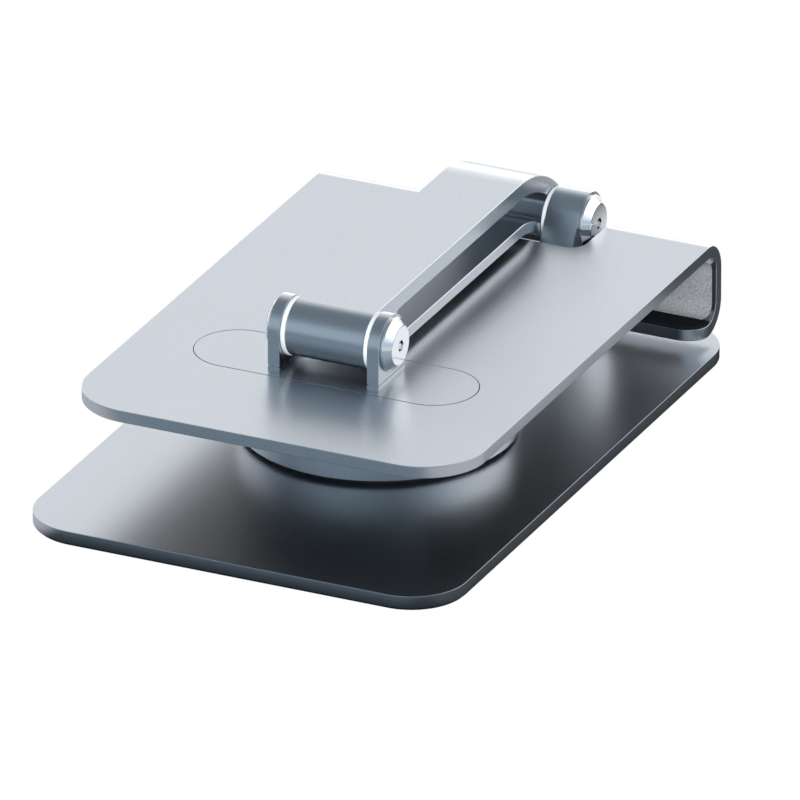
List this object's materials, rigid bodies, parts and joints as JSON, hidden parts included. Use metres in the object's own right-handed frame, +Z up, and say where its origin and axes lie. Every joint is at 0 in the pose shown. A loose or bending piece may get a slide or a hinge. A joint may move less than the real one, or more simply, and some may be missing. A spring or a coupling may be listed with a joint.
{
  "type": "folding laptop stand",
  "caption": "Folding laptop stand: plate with two curled hooks on a windowed arm, hinged at both ends, on a bracket that turns on a flat base.",
  "frame": {"origin": "middle of the underside of the base, on the table", "axes": "+Z up; +Y along the base away from the user, from the near hinge to the far hinge; +X to the user's right, along both hinge axes"},
  "size_m": [0.1724, 0.263, 0.07],
  "materials": {
    "anodised_aluminium": "fine bead blast, space grey anodised",
    "black_rubber": "matt moulded sheet",
    "grey_silicone": "light grey silicone, fine speckle",
    "white_plastic": "white low-friction washer",
    "glide_plastic": "black low-friction ring",
    "polished_chrome": "polished",
    "zinc_steel": "turned, zinc plated",
    "screw_steel": "plated screw",
    "spring_steel": "hardened, oiled",
    "bush_bronze": "sintered bronze"
  },
  "bodies": {
    "base": {"base_plate": "anodised_aluminium", "base_pad": "black_rubber", "pivot_post": "zinc_steel", "post_screws": "screw_steel", "glide_ring": "glide_plastic", "pivot_washer": "spring_steel", "pivot_nut": "zinc_steel"},
    "turntable": {"turntable": "anodised_aluminium", "turntable_bush": "bush_bronze", "pivot_cover": "anodised_aluminium", "bracket": "anodised_aluminium", "bracket_screws": "screw_steel", "far_pin": "zinc_steel", "far_cap": "polished_chrome", "far_end_cap": "polished_chrome", "far_washers": "white_plastic", "far_springs": "spring_steel"},
    "arm": {"arm": "anodised_aluminium", "far_bushes": "bush_bronze", "near_bushes": "bush_bronze", "near_springs": "spring_steel"},
    "platform": {"platform": "anodised_aluminium", "hinge_insert": "anodised_aluminium", "ear_left": "anodised_aluminium", "ear_right": "anodised_aluminium", "ear_screws": "screw_steel", "insert_screws": "screw_steel", "near_pin": "zinc_steel", "near_cap": "polished_chrome", "near_end_cap": "polished_chrome", "near_washers": "white_plastic", "hook_pad_left": "grey_silicone", "hook_pad_right": "grey_silicone", "lip_pad_left": "black_rubber", "lip_pad_right": "black_rubber", "rest_pad": "black_rubber"}
  },
  "joints": [
    {"name": "turntable_swivel", "type": "hinge", "parent": "base", "child": "turntable", "pos_m": [0, 0, 0.0193], "axis": [0, 0, 1], "continuous": true},
    {"name": "arm_lift", "type": "hinge", "parent": "turntable", "child": "arm", "pos_m": [0, 0.1192, 0.0457], "axis": [-1, 0, 0], "range_deg": [0, 100]},
    {"name": "platform_tilt", "type": "hinge", "parent": "arm", "child": "platform", "pos_m": [0, -0.0368, 0.0586], "axis": [-1, 0, 0], "range_deg": [0, 170]}
  ],
  "couplings": [
    {"joint": "platform_tilt", "follows": "arm_lift", "ratio": 0.08}
  ]
}
